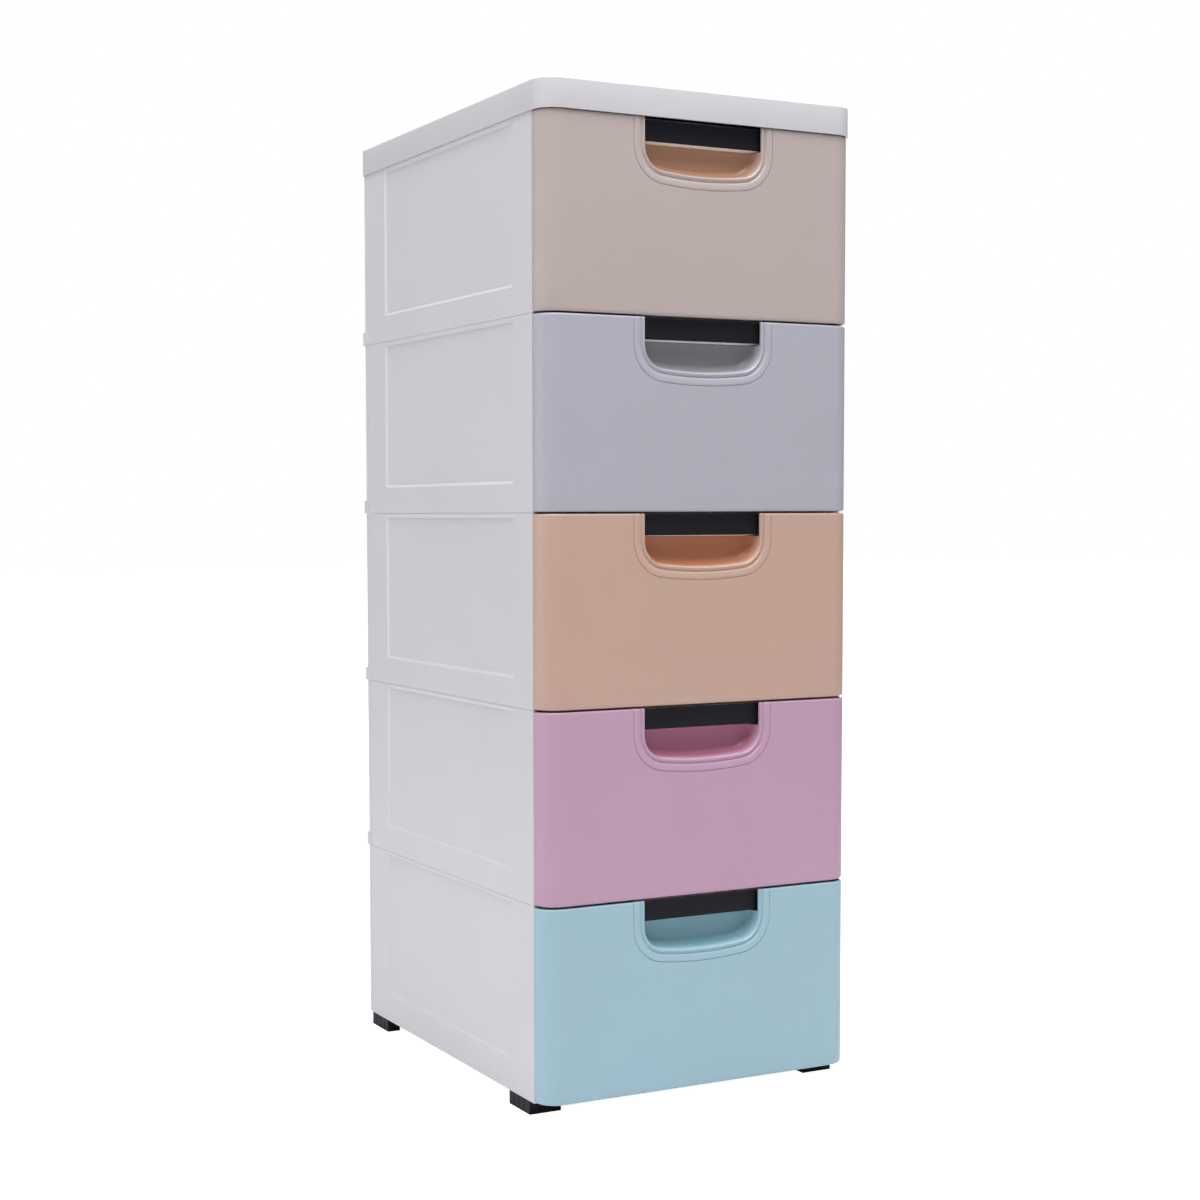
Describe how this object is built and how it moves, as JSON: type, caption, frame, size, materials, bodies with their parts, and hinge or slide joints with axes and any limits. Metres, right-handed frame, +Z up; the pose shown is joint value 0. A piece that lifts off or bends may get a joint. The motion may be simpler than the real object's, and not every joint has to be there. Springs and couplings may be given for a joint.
{
  "type": "drawer tower",
  "caption": "Tall free-standing drawer tower: flat top cover, panelled frame on corner feet, and deep pull-out drawers with a U-shaped hand opening and finger scoop.",
  "frame": {"origin": "centre of the bounding box on the floor", "axes": "+Z up, the drawers open towards -Y, +X is to the right when seen from the front"},
  "size_m": [0.373, 0.4646, 1.0358],
  "materials": {
    "white_plastic": "satin",
    "cream_plastic": "satin",
    "black_plastic": "satin",
    "beige_plastic": "satin",
    "grey_plastic": "satin",
    "peach_plastic": "satin",
    "mauve_plastic": "satin",
    "aqua_plastic": "satin"
  },
  "bodies": {
    "frame": {"top_cover": "white_plastic", "top_frame": "white_plastic", "left_panel_1": "white_plastic", "left_panel_2": "white_plastic", "left_panel_3": "white_plastic", "left_panel_4": "white_plastic", "left_panel_5": "white_plastic", "right_panel_1": "white_plastic", "right_panel_2": "white_plastic", "right_panel_3": "white_plastic", "right_panel_4": "white_plastic", "right_panel_5": "white_plastic", "back_panel_1": "white_plastic", "back_panel_2": "white_plastic", "back_panel_3": "white_plastic", "back_panel_4": "white_plastic", "back_panel_5": "white_plastic", "shelf_1": "white_plastic", "shelf_2": "white_plastic", "shelf_3": "white_plastic", "shelf_4": "white_plastic", "base_frame": "white_plastic", "foot_front_left": "black_plastic", "foot_front_right": "black_plastic", "foot_rear_left": "black_plastic", "foot_rear_right": "black_plastic"},
    "drawer_1": {"drawer_front_1": "beige_plastic", "drawer_box_1": "beige_plastic", "grip_bar_1": "cream_plastic", "grip_strip_1": "black_plastic"},
    "drawer_2": {"drawer_front_2": "grey_plastic", "drawer_box_2": "grey_plastic", "grip_bar_2": "cream_plastic", "grip_strip_2": "black_plastic"},
    "drawer_3": {"drawer_front_3": "peach_plastic", "drawer_box_3": "peach_plastic", "grip_bar_3": "cream_plastic", "grip_strip_3": "black_plastic"},
    "drawer_4": {"drawer_front_4": "mauve_plastic", "drawer_box_4": "mauve_plastic", "grip_bar_4": "cream_plastic", "grip_strip_4": "black_plastic"},
    "drawer_5": {"drawer_front_5": "aqua_plastic", "drawer_box_5": "aqua_plastic", "grip_bar_5": "cream_plastic", "grip_strip_5": "black_plastic"}
  },
  "joints": [
    {"name": "drawer_1_slide", "type": "slide", "parent": "frame", "child": "drawer_1", "axis": [0, -1, 0], "range_m": [0, 0.34]},
    {"name": "drawer_2_slide", "type": "slide", "parent": "frame", "child": "drawer_2", "axis": [0, -1, 0], "range_m": [0, 0.34]},
    {"name": "drawer_3_slide", "type": "slide", "parent": "frame", "child": "drawer_3", "axis": [0, -1, 0], "range_m": [0, 0.34]},
    {"name": "drawer_4_slide", "type": "slide", "parent": "frame", "child": "drawer_4", "axis": [0, -1, 0], "range_m": [0, 0.34]},
    {"name": "drawer_5_slide", "type": "slide", "parent": "frame", "child": "drawer_5", "axis": [0, -1, 0], "range_m": [0, 0.34]}
  ]
}
